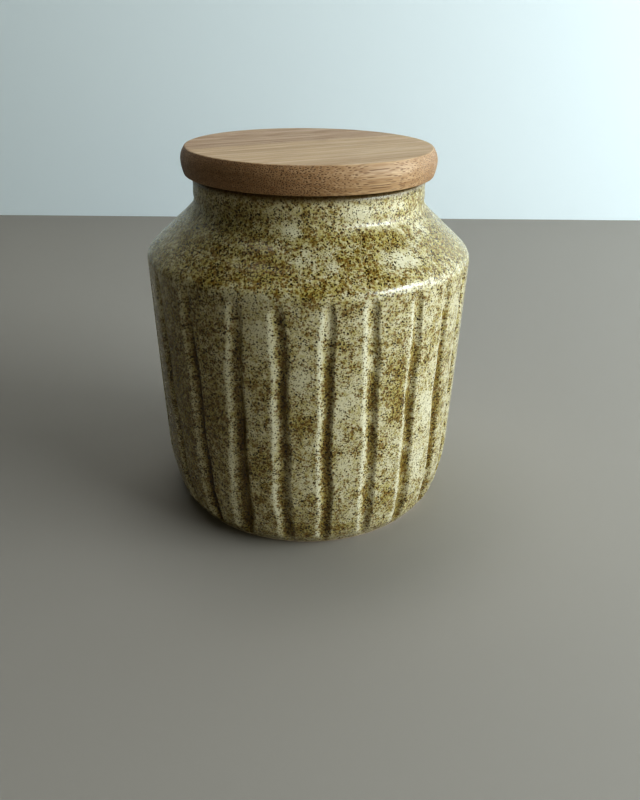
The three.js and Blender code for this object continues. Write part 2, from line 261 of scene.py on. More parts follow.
# Heights over which the glaze is browned as painted shade under the lid, counted from the rim, and dull,
# counted from the neck's foot, and over which the bare clay at the jar's foot ends
RIM_SHADE_BAND, RIM_SHADE_SHARE = (-4 * MM, -0.7 * MM), 0.8
DULL_BAND, DULL_ROUGHNESS = (-4 * MM, -1 * MM), 0.14
BARE_BAND, BARE_ROUGHNESS = (1.5 * MM, 2.3 * MM), 0.5
BARE_WAVER_SIZE, BARE_WAVER = 4 * MM, 1.6 * MM
CLAY_SIZE = 1.2 * MM
# Gloss and fine relief of the glaze
SATIN_SIZE, SATIN_ROUGHNESS = 5 * MM, (0.2, 0.31)
GLAZE_IOR, GLAZE_COAT, COAT_ROUGHNESS = 1.53, 0.24, 0.18
PEEL_SIZE, PEEL_DEPTH = 3.4 * MM, 0.16 * MM
PIT_SIZE, PIT_DEPTH = 0.7 * MM, 0.07 * MM

# Wood of the two staves: pale and dark colour, pith across the grain, its rise along it, and ring width
FRONT_WOOD = ((0.63, 0.455, 0.295), (0.50, 0.335, 0.195), (0, -26 * MM, 60 * MM), 0.0, 3.1 * MM)
BACK_WOOD = ((0.55, 0.375, 0.245), (0.39, 0.25, 0.155), (0, 30 * MM, 150 * MM), 0.16, 3.4 * MM)
# What late wood, the rim as painted shade, end grain and pores multiply its colour by
LATE_TINT = (0.66, 0.56, 0.46)
SIDE_SHADE_TINT = (0.86, 0.82, 0.78)
END_TINT = (0.87, 0.80, 0.75)
PORE_TINT = (0.36, 0.28, 0.22)
# Noise in the wood: its size across the grain, its scale along the grain against that across it, and how far
# it moves things or the range that counts
RING_SWAY_SIZE, RING_SWAY_SCALE, RING_SWAY = 18 * MM, 0.1, 5 * MM
STREAK_SIZE, STREAK_SCALE, STREAK_NOISE = 2.2 * MM, 0.04, (0.25, 0.75)
FIBRE_SIZE, FIBRE_SCALE, FIBRE_NOISE = 0.7 * MM, 0.025, (0.38, 0.66)
WOBBLE_SIZE, WOBBLE_SCALE, WOBBLE = 12 * MM, 0.3, 3 * MM
# Vessels in the wood: cell, evenness, scatter, and their sizes in cells on long grain and on end grain
VESSEL_CELL, VESSEL_EVENNESS, VESSEL_SCATTER = 0.7 * MM, 0.8, 0.9
SHEATH_SIZE, VESSEL_SIZES = 0.6, (0.3, 0.42)
# Slopes that count as flat, facings that count as end grain, and where late wood comes and goes in a ring
FLAT_SLOPE, END_FACING = (0.5, 0.85), (0.15, 0.6)
LATE_START, LATE_END = (0.25, 0.85), (0.85, 1.0)
# Shares of colour: late wood, fibres on faces and on the rim, sheaths on long and end grain, vessels on
# faces, and vessels on the rim's long and end grain
LATE_SHARE = 0.4
FIBRE_SHARES, SHEATH_SHARES = (0.4, 0.7), (0.05, 0.4)
FACE_VESSELS, RIM_VESSELS = 0.3, (0.7, 0.95)
FIBRE_DEPTH = 0.06 * MM
WOOD_ROUGHNESS, WOOD_IOR = (0.42, 0.56), 1.45

# Silicone of the seal
DULL_SILICONE, PALE_SILICONE = (0.74, 0.73, 0.68), (0.83, 0.82, 0.78)
HAZE_SIZE, HAZE_ROUGHNESS = 9 * MM, (0.42, 0.55)
DUST_SIZE, DUST_DEPTH = 0.7 * MM, 0.02 * MM
SILICONE_GLOW, SILICONE_GLOW_REACH = 0.3, (2 * MM, 2 * MM, 1.8 * MM)
SILICONE_IOR = 1.41

# Stage in metres: the floor and the wall behind the jar are pale, and the room's other walls are grey.
# A finish is its name, colour and roughness.
STAGE_HALF_WIDTH, STAGE_FRONT, STAGE_BACK, STAGE_TOP = 2.2, -2.0, 0.56, 2.0
FLOOR_FINISH = ("pale_floor", (0.32, 0.288, 0.258), 0.7)
BACKDROP_FINISH = ("pale_wall", (0.79, 0.84, 0.87), 0.8)
ROOM_FINISH = ("grey_wall", (0.37, 0.35, 0.26), 0.9)

# Lights: azimuth and elevation in degrees, distance and size in metres, power in watts, and colour
LIGHTS = {
    "window": (77, 19, 1.3, (1.5, 1.0), 15.2, (0.86, 0.97, 1.0)),
    "window_pane": (69, 30, 1.2, (0.7, 0.25), 5.6, (0.86, 0.97, 1.0)),
    "ceiling": (-150, 75, 1.4, (0.9, 0.4), 4.1, (0.94, 0.97, 0.97)),
    "wall_glow": (-140, 30, 0.7, (0.5, 0.5), 0.07, (0.92, 0.96, 0.75)),
    "room_fill": (18, 12, 1.5, (0.6, 0.5), 1.12, (0.96, 0.92, 0.6))}
LIGHT_TARGET = Vector((0, 0, 80 * MM))

# Camera, fitted to the photograph's outline of the jar: focal length in pixels of its 640 x 800 frame
PHOTO_HEIGHT = 800
FOCAL_PIXELS = 730
CAMERA_BACK = 326.3 * MM
CAMERA_HEIGHT = 209.2 * MM
CAMERA_PITCH = math.radians(27.30)
CAMERA_YAW = math.radians(1.04)
CAMERA_ROLL = math.radians(0.73)


# Profiles

def rounded_profile(corners):
    """Points through corners (radius, height, rounding), each rounding as an arc that touches both sides."""
    points = []
    for i, (x, z, rounding) in enumerate(corners):
        here = Vector((x, z))
        if not rounding:
            points.append(here)
            continue
        ends = [corners[i - 1], corners[i + 1]]
        sides = [Vector(end[:2]) - here for end in ends]
        rooms = [side.length * ROUNDING_ROOM / (2 if end[2] else 1) for side, end in zip(sides, ends)]
        back, ahead = [side.normalized() for side in sides]
        half_angle = back.angle(ahead) / 2
        reach = min(rounding / math.tan(half_angle), *rooms)
        radius = reach * math.tan(half_angle)
        middle = here + (back + ahead).normalized() * radius / math.sin(half_angle)
        start = here + back * reach - middle
        sweep = start.angle_signed(here + ahead * reach - middle)
        steps = math.ceil(abs(sweep) / ARC_STEP)
        for step in range(steps + 1):
            points.append(middle + Matrix.Rotation(-sweep * step / steps, 2) @ start)
    return points


def subdivided(points, longest):
    """The same line with points added so that none of its stretches is longer than asked."""
    fine = [points[0]]
    for here, after in zip(points, points[1:]):
        pieces = max(1, math.ceil((after - here).length / longest))
        fine += [here.lerp(after, (i + 1) / pieces) for i in range(pieces)]
    return fine


# Meshes

def add_mesh(name, vertices, faces, smooth=True):
    mesh = bpy.data.meshes.new(name)
    mesh.from_pydata([tuple(v) for v in vertices], [], faces)
    mesh.polygons.foreach_set("use_smooth", [smooth] * len(mesh.polygons))
    mesh.update()
    piece = bpy.data.objects.new(name, mesh)
    bpy.context.scene.collection.objects.link(piece)
    return piece


def ring_faces(rows, columns, closed=False):
    """Quads between the rings of a revolved grid. The first and last rows join up if it is closed."""
    faces = []
    for row in range(rows if closed else rows - 1):
        above = (row + 1) % rows
        for column in range(columns):
            after = (column + 1) % columns
            faces.append((row * columns + column, row * columns + after,
                          above * columns + after, above * columns + column))
    return faces


def capped_grid(name, radii, heights, azimuths):
    """A closed revolved piece. Its first and last rows are shrunk to points on the axis."""
    rows, columns = radii.shape
    grid = np.stack([radii * np.sin(azimuths), -radii * np.cos(azimuths), heights], axis=2)
    ends = [(0, 0, heights[0].mean()), (0, 0, heights[-1].mean())]
    vertices = np.concatenate([grid[1:-1].reshape(-1, 3), np.array(ends)])
    first_pole, last_pole = len(vertices) - 2, len(vertices) - 1
    last_ring = (rows - 3) * columns
    faces = ring_faces(rows - 2, columns)
    for column in range(columns):
        after = (column + 1) % columns
        faces.append((first_pole, after, column))
        faces.append((last_pole, last_ring + column, last_ring + after))
    return add_mesh(name, vertices, faces)


def revolved(name, points, columns):
    azimuths = np.linspace(0, 2 * math.pi, columns, endpoint=False)
    radii = np.repeat(np.array([[p.x] for p in points]), columns, axis=1)
    heights = np.repeat(np.array([[p.y] for p in points]), columns, axis=1)
    return capped_grid(name, radii, heights, azimuths)


def revolved_ring(name, points, columns):
    """A revolved piece whose section is a closed loop off the axis."""
    azimuths = np.linspace(0, 2 * math.pi, columns, endpoint=False)
    vertices = [(p.x * math.sin(a), -p.x * math.cos(a), p.y) for p in points for a in azimuths]
    return add_mesh(name, vertices, ring_faces(len(points), columns, closed=True))


def store(piece, name, values):
    attribute = piece.data.attributes.new(name, "FLOAT", "POINT")
    attribute.data.foreach_set("value", np.asarray(values, np.float32))


# Jar

def smoothstep(values, low, high):
    t = np.clip((values - low) / (high - low), 0, 1)
    return t * t * (3 - 2 * t)


def wander(rng, along, wavelengths):
    """A smooth random line of about unit height, different for each row of the returned array."""
    phases = rng.uniform(0, 2 * math.pi, (FLUTE_COUNT, len(wavelengths)))
    waves = np.sin(2 * math.pi * along[None, :, None] / np.array(wavelengths) + phases[:, None, :])
    return waves.sum(axis=2) / math.sqrt(len(wavelengths))


def flute_section(across):
    """Depth share of a rounded V with soft lips at places across it, deepest to the right of its middle."""
    across = across - FLUTE_SKEW * np.clip(1 - across ** 2, 0, None)
    lip = math.hypot(1, FLUTE_ROOT)
    vee = (lip - np.hypot(across, FLUTE_ROOT)) / (lip - FLUTE_ROOT)
    soft = np.where(across < 0, FLUTE_LEFT_SOFTNESS, FLUTE_RIGHT_SOFTNESS)
    return np.where(vee > soft, vee, np.clip(vee + soft, 0, 2 * soft) ** 2 / (4 * soft))


def flute_cuts():
    """Each flute's turns at its top and foot, in degrees, its widths there, its depth share and its glaze,
    which on the left-hand flutes also paints shade.
    """
    flutes = np.arange(FLUTE_COUNT)
    top_turns = FLUTE_TURN * np.sin(TOP_TURN_SWAY * flutes)
    foot_turns = top_turns + FLUTE_LEAN + FLUTE_LEAN_SPREAD * np.sin(LEAN_SWAY * flutes)
    top_widths = FLUTE_TOP_WIDTH + FLUTE_WIDTH_SPREAD * np.sin(TOP_WIDTH_SWAY * flutes)
    foot_widths = FLUTE_FOOT_WIDTH + FLUTE_WIDTH_SPREAD * np.sin(FOOT_WIDTH_SWAY * flutes)
    depth_shares = np.full(FLUTE_COUNT, FLUTE_DEPTH_SHARE)
    glaze = np.ones(FLUTE_COUNT)
    cuts = np.stack([top_turns, foot_turns, top_widths, foot_widths, depth_shares, glaze])
    for flute, seen in SEEN_FLUTES.items():
        cuts[:, flute] = np.array(seen) * (1, 1, MM, MM, 1, 1)
    return cuts[:, :, None]


def flute_runs(heights):
    """Each flute's turn, sideways waver, half width and depth at each height, the share of its depth that is
    left where it runs out, and the glaze that gathers there, which on the left-hand flutes is partly painted
    shade."""
    rng = np.random.default_rng(FLUTE_SEED)
    top_turns, foot_turns, top_widths, foot_widths, depth_shares, glaze = flute_cuts()
    down = (1 - heights / SHOULDER_HEIGHT)[None, :]
    turn = top_turns + (foot_turns - top_turns) * down
    width = top_widths + (foot_widths - top_widths) * down
    waver = FLUTE_WAVER * wander(rng, heights, WAVER_WAVES)
    nicks = FLUTE_NICKS * wander(rng, heights, NICK_WAVES)
    depth = width * depth_shares * (1 + DEPTH_WAVER * wander(rng, heights, DEPTH_WAVES))
    half_width = width / 2 / FLUTE_LIP * (1 + WIDTH_WAVER * wander(rng, heights, WIDTH_WAVES))
    top = SHOULDER_HEIGHT - FLUTE_TOP_GAP + rng.uniform(-1, 1, FLUTE_COUNT) * FLUTE_TOP_SPREAD
    below = top[:, None] - heights[None, :]
    share = smoothstep(below, 0, FLUTE_TOP_RUNOUT) * smoothstep(heights, 0, FLUTE_FOOT_RUNOUT)[None, :]
    deepening = FLUTE_TOP_SHARE + (1 - FLUTE_TOP_SHARE) * smoothstep(below, 0, FLUTE_DEEPENING)
    half_width = half_width * (FLUTE_END_WIDTH + (1 - FLUTE_END_WIDTH) * np.sqrt(share))
    pool = glaze * share * smoothstep(below, *POOL_BELOW)
    return np.radians(turn), waver + nicks, half_width, depth * share * deepening, share, pool


def flute_grid(heights, radii):
    """Columns that follow the flutes. Returns the azimuths of a grid of rows by columns, the depth carved
    there, how much glaze gathers there, and how near each point is to a flute's left lip."""
    turn, waver, half_width, depth, share, pool = flute_runs(heights)
    pitch = 2 * math.pi / FLUTE_COUNT
    middle = FLUTE_FRONT_AZIMUTH + pitch * np.arange(FLUTE_COUNT)[:, None] + turn
    middle = middle + waver / radii[None, :]
    half = half_width * FLUTE_REACH / radii[None, :]
    across = np.linspace(-FLUTE_REACH, FLUTE_REACH, FLUTE_COLUMNS + 1)
    flutes = middle[:, :, None] + half[:, :, None] * (across / FLUTE_REACH)
    after = np.concatenate([flutes[1:, :, :1], flutes[:1, :, :1] + 2 * math.pi])
    steps = np.linspace(0, 1, PANEL_COLUMNS + 1)[1:-1]
    panels = flutes[:, :, -1:] + (after - flutes[:, :, -1:]) * steps
    # Only the left lip is made pale, as thinned glaze and as a painted highlight of the window on the right
    edge = np.exp(-((across - LIT_THIN_LIP) / LIT_THIN_SPREAD) ** 2)
    gather = smoothstep(across, *POOL_LEFT) * (1 - smoothstep(across, *POOL_RIGHT))

    def as_grid(flute_values, panel_values):
        joined = np.concatenate([flute_values, panel_values], axis=2)
        return joined.transpose(1, 0, 2).reshape(len(heights), -1)

    none = np.zeros_like(panels)
    return (as_grid(flutes, panels), as_grid(depth[:, :, None] * flute_section(across), none),
            as_grid(pool[:, :, None] * gather, none), as_grid(share[:, :, None] * edge, none))


def jar_corners():
    """Profile corners of the jar's underside, outside and inside, in that order round its wall."""
    slope = math.atan2(SHOULDER_RADIUS - NECK_RADIUS, SHOULDER_RISE)
    inside_shoulder = (SHOULDER_RADIUS - WALL, SHOULDER_HEIGHT - WALL * math.tan(slope / 2))
    inside_rise = (inside_shoulder[0] - MOUTH_RADIUS) / math.tan(slope)
    ring = FOOT_RADIUS - FOOT_RING_WIDTH
    rim = (NECK_RADIUS + MOUTH_RADIUS) / 2
    underside = [(0, FOOT_RECESS, 0), (ring - FOOT_RECESS, FOOT_RECESS, RECESS_ROUNDING),
                 (ring, 0, FOOT_ROUNDING), ((ring + FOOT_RADIUS) / 2, 0, 0)]
    outside = [((ring + FOOT_RADIUS) / 2, 0, 0), (FOOT_RADIUS, 0, FOOT_ROUNDING),
               (BEVEL_RADIUS, BEVEL_HEIGHT, BEVEL_ROUNDING), (BASE_RADIUS, BASE_HEIGHT, BASE_ROUNDING),
               (SHOULDER_RADIUS, SHOULDER_HEIGHT, SHOULDER_ROUNDING),
               (NECK_RADIUS, NECK_HEIGHT, NECK_ROUNDING),
               (NECK_RADIUS, RIM_HEIGHT, RIM_ROUNDING), (rim, RIM_HEIGHT, 0)]
    inside = [(rim, RIM_HEIGHT, 0), (MOUTH_RADIUS, RIM_HEIGHT, EDGE_ROUNDING),
              (MOUTH_RADIUS, inside_shoulder[1] + inside_rise, NECK_ROUNDING),
              (*inside_shoulder, SHOULDER_ROUNDING),
              (BEVEL_RADIUS - WALL, FLOOR_HEIGHT, FLOOR_ROUNDING), (0, FLOOR_HEIGHT, 0)]
    return underside, outside, inside


def thrown_swell(heights, azimuths):
    """How far the thrown wall stands off its nominal surface: a little out of round, with soft rings above
    the shoulder and a ledge under the neck."""
    heights = heights[:, None]
    lobes = sum(np.sin(n * azimuths + turn) / n for n, turn in ROUND_LOBES)
    twist = np.sin(2 * math.pi * heights / LOBE_PITCH)
    swell = OUT_OF_ROUND * lobes * (1 - LOBE_FADE + LOBE_FADE * twist)
    rings = np.sin(2 * math.pi * heights / THROWING_RING_PITCH + THROWING_RING_SWAY * np.sin(2 * azimuths))
    rings = rings * smoothstep(heights - SHOULDER_HEIGHT, *RINGS_FROM_SHOULDER)
    rings = rings * (1 - smoothstep(heights - RIM_HEIGHT, *RINGS_TO_RIM))
    ledge = np.exp(-((heights - NECK_HEIGHT + NECK_LEDGE_DROP) / NECK_LEDGE_SPREAD) ** 2)
    ledge = ledge * (1 - NECK_LEDGE_FADE + NECK_LEDGE_FADE * np.sin(azimuths - NECK_LEDGE_TURN))
    return swell + THROWING_RING * rings + NECK_LEDGE * ledge - THROWN_INSET


def patch_and_painted_light_field(heights, azimuths, radii):
    """How much more or less glaze the patches bring to each point of a grid, some of it painted shade and
    painted light.
    """
    field = np.zeros_like(azimuths)
    for azimuth, height, half_width, half_height, strength in PATCHES_AND_PAINTED_LIGHT:
        turn = np.remainder(azimuths - math.radians(azimuth) + math.pi, 2 * math.pi) - math.pi
        across = turn * radii[:, None] / (half_width * MM)
        up = (heights[:, None] - height * MM) / (half_height * MM)
        field += strength * np.exp(-across ** 2 - up ** 2)
    return field


def make_jar():
    """The jar as one closed grid: up its outside from the foot, over the rim and down its inside.
    What the glaze needs to know is stored on its points."""
    underside, outside, inside = [rounded_profile(corners) for corners in jar_corners()]
    underside = subdivided(underside, INNER_ROW)
    outside = subdivided(outside, OUTER_ROW)[1:]
    inside = subdivided(inside, INNER_ROW)[1:]
    points = underside + outside + inside
    outer = slice(len(underside), len(underside) + len(outside))
    nominal = np.array([(p.x, p.y) for p in points])
    rows = nominal[outer, 1]
    azimuths, depth, pool, edge = flute_grid(rows, nominal[outer, 0])
    below = np.repeat(azimuths[:1], len(underside), axis=0)
    above = np.repeat(azimuths[-1:], len(inside), axis=0)
    radii = np.repeat(nominal[:, :1], azimuths.shape[1], axis=1)
    heights = np.repeat(nominal[:, 1:], azimuths.shape[1], axis=1)
    above_foot = smoothstep(rows, 0, EVEN_FOOT)[:, None]
    radii[outer] += thrown_swell(rows, azimuths) * above_foot - depth
    jar = capped_grid("glazed_jar", radii, heights, np.concatenate([below, azimuths, above]))

    def on_points(field):
        whole = np.zeros_like(radii)
        whole[outer] = field
        return np.append(whole[1:-1].ravel(), [0, 0])

    inner = np.zeros_like(radii)
    inner[outer.stop:] = 1
    store(jar, "patch_and_painted_light", on_points(patch_and_painted_light_field(rows, azimuths, nominal[outer, 0])))
    store(jar, "pool", on_points(pool))
    store(jar, "edge", on_points(edge))
    store(jar, "inner", np.append(inner[1:-1].ravel(), [0, 1]))
    return jar


# Lid

def make_staves():
    """The lid's turned disc, parted along its glue line into a front and a back stave."""
    under, top = FRONT_LOW.z, FRONT_HIGH.z
    belly = under + LID_BELLY_HEIGHT
    profile = subdivided(rounded_profile([
        (0, under, 0), (LID_RADIUS - LID_UNDER_INSET, under, LID_UNDER_ROUNDING),
        (LID_RADIUS - LID_UNDER_INSET / 4, (under + belly) / 2, LID_BELLY_ROUNDING),
        (LID_RADIUS, belly, LID_BELLY_ROUNDING),
        (LID_RADIUS - LID_TOP_INSET / 4, (belly + top) / 2, LID_BELLY_ROUNDING),
        (LID_RADIUS - LID_TOP_INSET, top, LID_TOP_ROUNDING), (0, top, 0)]), LID_ROW)
    across = Vector((-math.sin(GRAIN_ANGLE), math.cos(GRAIN_ANGLE), 0))
    staves = []
    for name, side in (("oiled_stave_front", -1), ("oiled_stave_back", 1)):
        stave = revolved(name, profile, LID_COLUMNS)
        solid = bmesh.new()
        solid.from_mesh(stave.data)
        whole = solid.verts[:] + solid.edges[:] + solid.faces[:]
        cut = bmesh.ops.bisect_plane(
            solid, geom=whole, dist=CUT_TOLERANCE, plane_no=across,
            plane_co=across * (GLUE_LINE_OFFSET + side * GLUE_LINE_GAP / 2),
            clear_inner=side > 0, clear_outer=side < 0)
        rim = [part for part in cut["geom_cut"] if isinstance(part, bmesh.types.BMEdge)]
        cap = bmesh.ops.contextual_create(solid, geom=rim)["faces"]
        for face in cap:
            face.smooth = False
        for edge in rim:
            edge.smooth = False
        bmesh.ops.recalc_face_normals(solid, faces=solid.faces)
        solid.to_mesh(stave.data)
        solid.free()
        staves.append(stave)
    return staves


def make_plug():
    """The turned disc under the lid, with the groove that holds the seal."""
    foot, top, radius = PLUG_LOW.z, PLUG_HIGH.z, PLUG_HIGH.x
    middle = (foot + top) / 2
    groove, low, high = radius - GROOVE_DEPTH, middle - GROOVE_HEIGHT / 2, middle + GROOVE_HEIGHT / 2
    profile = rounded_profile([
        (0, foot, 0), (radius, foot, EDGE_ROUNDING),
        (radius, low, PLUG_ROUNDING), (groove, low, PLUG_ROUNDING),
        (groove, high, PLUG_ROUNDING), (radius, high, PLUG_ROUNDING),
        (radius, top, PLUG_ROUNDING), (0, top, 0)])
    return revolved("oiled_plug", subdivided(profile, LID_ROW), LID_COLUMNS)


def make_seal():
    """A silicone band in the groove, with three lips that point up and out."""
    middle = (SEAL_LOW.z + SEAL_HIGH.z) / 2
    tip, foot, top = SEAL_HIGH.x, SEAL_LOW.z, SEAL_HIGH.z
    inner = PLUG_HIGH.x - GROOVE_DEPTH + SEAL_FIT
    band = inner + SEAL_BAND
    corners = [(inner, foot, 0), (band, foot, LIP_ROUNDING)]
    for lip in (-1, 0, 1):
        root = middle + lip * SEAL_LIP_PITCH
        end = root + SEAL_LIP_RISE
        outline = ((band, root - SEAL_LIP_ROOT / 2), (tip, end - SEAL_LIP_TIP / 2),
                   (tip, end + SEAL_LIP_TIP / 2), (band, root + SEAL_LIP_ROOT / 2))
        corners += [(*corner, LIP_ROUNDING) for corner in outline]
    corners += [(band, top, LIP_ROUNDING), (inner, top, 0)]
    return revolved_ring("silicone_seal", rounded_profile(corners), LID_COLUMNS)


# Materials

class Shader:
    """One material's nodes. Each call adds a node and returns the output that the next one takes."""

    def __init__(self, name):
        self.material = bpy.data.materials.new(name)
        self.material.use_nodes = True
        self.tree = self.material.node_tree
        self.surface = self.tree.nodes["Principled BSDF"]

    def feed(self, socket, value):
        if isinstance(value, bpy.types.NodeSocket):
            self.tree.links.new(value, socket)
        else:
            socket.default_value = value

    def node(self, kind, output, inputs, **settings):
        node = self.tree.nodes.new(kind)
        for name, value in settings.items():
            setattr(node, name, value)
        for name, value in inputs.items():
            self.feed(node.inputs[name], value)
        return node.outputs[output]

    def place(self):
        return self.node("ShaderNodeTexCoord", "Object", {})

    def normal(self):
        return self.node("ShaderNodeTexCoord", "Normal", {})

    def part(self, vector, axis):
        return self.node("ShaderNodeSeparateXYZ", axis, {"Vector": vector})

    def moved(self, place, scale=(1, 1, 1), turn=(0, 0, 0)):
        return self.node("ShaderNodeMapping", "Vector", {"Vector": place, "Scale": scale, "Rotation": turn})

    def noise(self, place, size, detail=2.0, roughness=0.5, output="Fac"):
        """Noise whose patches are about size across, in metres."""
        inputs = {"Vector": place, "Scale": 1 / size, "Detail": detail, "Roughness": roughness}
        return self.node("ShaderNodeTexNoise", output, inputs)

    def sway(self, place, size, share, detail=3.0):
        """Noise about 0, of this strength."""
        noise = self.noise(place, size, detail, SWAY_ROUGHNESS)
        return self.math("MULTIPLY", self.math("SUBTRACT", noise, 0.5), share)

    def math(self, operation, a, b=0.0):
        return self.node("ShaderNodeMath", 0, {0: a, 1: b}, operation=operation)

    def vector(self, operation, a, b=(0, 0, 0), output="Vector"):
        return self.node("ShaderNodeVectorMath", output, {0: a, 1: b}, operation=operation)

    def ease(self, value, low, high, start=0.0, end=1.0):
        inputs = {"Value": value, "From Min": low, "From Max": high, "To Min": start, "To Max": end}
        return self.node("ShaderNodeMapRange", "Result", inputs, interpolation_type="SMOOTHSTEP")

    def mix(self, share, a, b, blend="MIX"):
        a, b = [(*c, 1) if isinstance(c, tuple) and len(c) == 3 else c for c in (a, b)]
        inputs = {"Fac": share, "Color1": a, "Color2": b}
        return self.node("ShaderNodeMixRGB", "Color", inputs, blend_type=blend)

    def tinted(self, colour, tint):
        return self.mix(1.0, colour, tint, "MULTIPLY")

    def attribute(self, name):
        return self.node("ShaderNodeAttribute", "Fac", {}, attribute_name=name)

    def grains(self, place, cell, size, evenness=0.0, dimensions="3D", scatter=1.0):
        """Round grains, one in each cell of about cell metres, with a random radius up to size cells, or all
        of one size where the evenness is 1. Returns how far a point is inside a grain, and a random number
        for its grain."""
        inputs = {"Vector": place, "Scale": 1 / cell, "Randomness": scatter}
        cells = self.node("ShaderNodeTexVoronoi", "Color", inputs, voronoi_dimensions=dimensions)
        random = self.node("ShaderNodeSeparateColor", "Red", {"Color": cells})
        radius = self.math("MULTIPLY", self.ease(random, 0.0, 1.0, evenness, 1.0), size)
        core = self.math("MULTIPLY", radius, GRAIN_CORE)
        inside = self.ease(cells.node.outputs["Distance"], core, radius, 1.0, 0.0)
        return inside, random.node.outputs["Green"]

    def bump(self, height, distance, normal=None):
        inputs = {"Height": height, "Distance": distance, "Strength": 1.0}
        if normal is not None:
            inputs["Normal"] = normal
        return self.node("ShaderNodeBump", "Normal", inputs)

    def finish(self, **inputs):
        for name, value in inputs.items():
            self.feed(self.surface.inputs[name.replace("_", " ")], value)
        return self.material


def glaze_iron(s, place, pool):
    """How much iron the glaze holds: it drifts, and settles on slopes, in flutes and in patches. Some patches
    and the left-hand flutes' pools add it as painted shade, and the flutes' left lips lose it as a painted
    highlight.
    """
    drift = s.sway(place, IRON_DRIFT, IRON_DRIFT_SHARE)
    iron = s.math("ADD", drift, s.sway(place, IRON_CLOUD, IRON_CLOUD_SHARE, detail=2))
    upward = s.ease(s.part(s.normal(), "Z"), *UPWARD_SLOPE)
    for share, settles in ((IRON_UPWARD, upward), (IRON_POOL, pool), (IRON_LIT_LIP, s.attribute("edge")),
                           (IRON_PATCH_AND_PAINTED_LIGHT, s.attribute("patch_and_painted_light"))):
        iron = s.math("ADD", iron, s.math("MULTIPLY", settles, share))
    return iron


def glaze_ground(s, place, iron, pool):
    """The glaze's colour under its grains: cream to straw, dark where it gathers, darkest in the left-hand
    flutes as painted shade, chalky where it thins, and also pale as a painted highlight on the flutes' left
    lips and as painted sheen in some patches.
    """
    mottle = s.math("ADD", iron, s.sway(place, IRON_MOTTLE, IRON_MOTTLE_SHARE))
    colour = s.mix(s.ease(mottle, *STRAW_IRON), CREAM, STRAW)
    colour = s.mix(s.ease(pool, *AMBER_POOL, 0.0, AMBER_SHARE), colour, AMBER)
    colour = s.mix(s.ease(pool, *POOL_AND_SHADE_RANGE, 0.0, POOL_AND_SHADE_SHARE), colour, POOL_AND_SHADE_BROWN)
    broken = s.ease(s.noise(place, LIT_THIN_SIZE), *LIT_THIN_NOISE, *LIT_THIN_SHARES)
    thin_lit_lip = s.math("MULTIPLY", s.attribute("edge"), broken)
    thin_and_sheen = s.ease(s.attribute("patch_and_painted_light"), *PALE_PATCH_AND_SHEEN, PALE_PATCH_AND_SHEEN_SHARE, 0.0)
    return s.mix(s.math("MAXIMUM", thin_lit_lip, thin_and_sheen), colour, PALE_THIN_AND_LIT)


def glaze_grains(s, place, iron, colour):
    """Brown grains where the iron gathers, and darker ones that follow it half as closely."""
    warp = s.vector("MULTIPLY", s.noise(place, GRAIN_WARP_SIZE, output="Color"), (GRAIN_WARP,) * 3)
    loose = s.moved(s.vector("ADD", place, warp), turn=GRAIN_TURN)
    drift = s.sway(place, PEPPER_DRIFT, PEPPER_DRIFT_SHARE, detail=2)
    pepper = s.math("ADD", s.math("MULTIPLY", iron, PEPPER_IRON), drift)
    for gathers, kinds in ((iron, IRON_GRAINS), (pepper, PEPPER_GRAINS)):
        for cell, least, most, share, pale, dark in kinds:
            grain, shade = s.grains(loose, cell, s.ease(gathers, *GRAIN_IRON, least, most))
            tone = s.mix(s.ease(shade, *DARK_GRAINS), pale, dark)
            colour = s.mix(s.math("MULTIPLY", grain, share), colour, tone)
    return colour


def glaze_material():
    """Speckled ash glaze: cream with brown grains, which gather to ochre on the shoulder and in the flutes.
    It is pale where it breaks over an edge and, on the flutes' left lips, as a painted highlight; it is brown
    just under the lid as painted shade; and it leaves bare clay at the foot."""
    s = Shader("speckled_glaze")
    place = s.place()
    above = s.part(place, "Z")
    gaps = s.ease(s.noise(place, IRON_DRIFT), *POOL_NOISE, *POOL_SHARES)
    pool = s.math("MULTIPLY", s.attribute("pool"), gaps)
    iron = glaze_iron(s, place, pool)
    colour = glaze_grains(s, place, iron, glaze_ground(s, place, iron, pool))
    # Painted shade: the neck's top is browned just under the lid's edge
    below_rim = s.math("SUBTRACT", above, RIM_HEIGHT)
    colour = s.mix(s.math("MULTIPLY", s.ease(below_rim, *RIM_SHADE_BAND), RIM_SHADE_SHARE), colour, RIM_PAINTED_SHADE)

    height = s.math("ADD", above, s.math("MULTIPLY", s.noise(place, BARE_WAVER_SIZE), BARE_WAVER))
    outside = s.math("SUBTRACT", 1.0, s.attribute("inner"))
    bare = s.math("MULTIPLY", s.ease(height, *BARE_BAND, 1.0, 0.0), outside)
    colour = s.mix(bare, colour, s.mix(s.noise(place, CLAY_SIZE, detail=3), DARK_CLAY, PALE_CLAY))

    satin = s.ease(s.noise(place, SATIN_SIZE, detail=3), *COMMON_NOISE, *SATIN_ROUGHNESS)
    below_neck = s.math("SUBTRACT", above, NECK_HEIGHT)
    dull = s.ease(below_neck, *DULL_BAND, 0.0, DULL_ROUGHNESS)
    rough = s.math("ADD", s.math("ADD", satin, dull), s.math("MULTIPLY", bare, BARE_ROUGHNESS))
    peel = s.bump(s.noise(place, PEEL_SIZE), PEEL_DEPTH)
    pits = s.bump(s.noise(place, PIT_SIZE, detail=1), PIT_DEPTH, peel)
    return s.finish(Base_Color=colour, Roughness=rough, Normal=pits, IOR=GLAZE_IOR,
                    Coat_Weight=GLAZE_COAT, Coat_Roughness=COAT_ROUGHNESS)


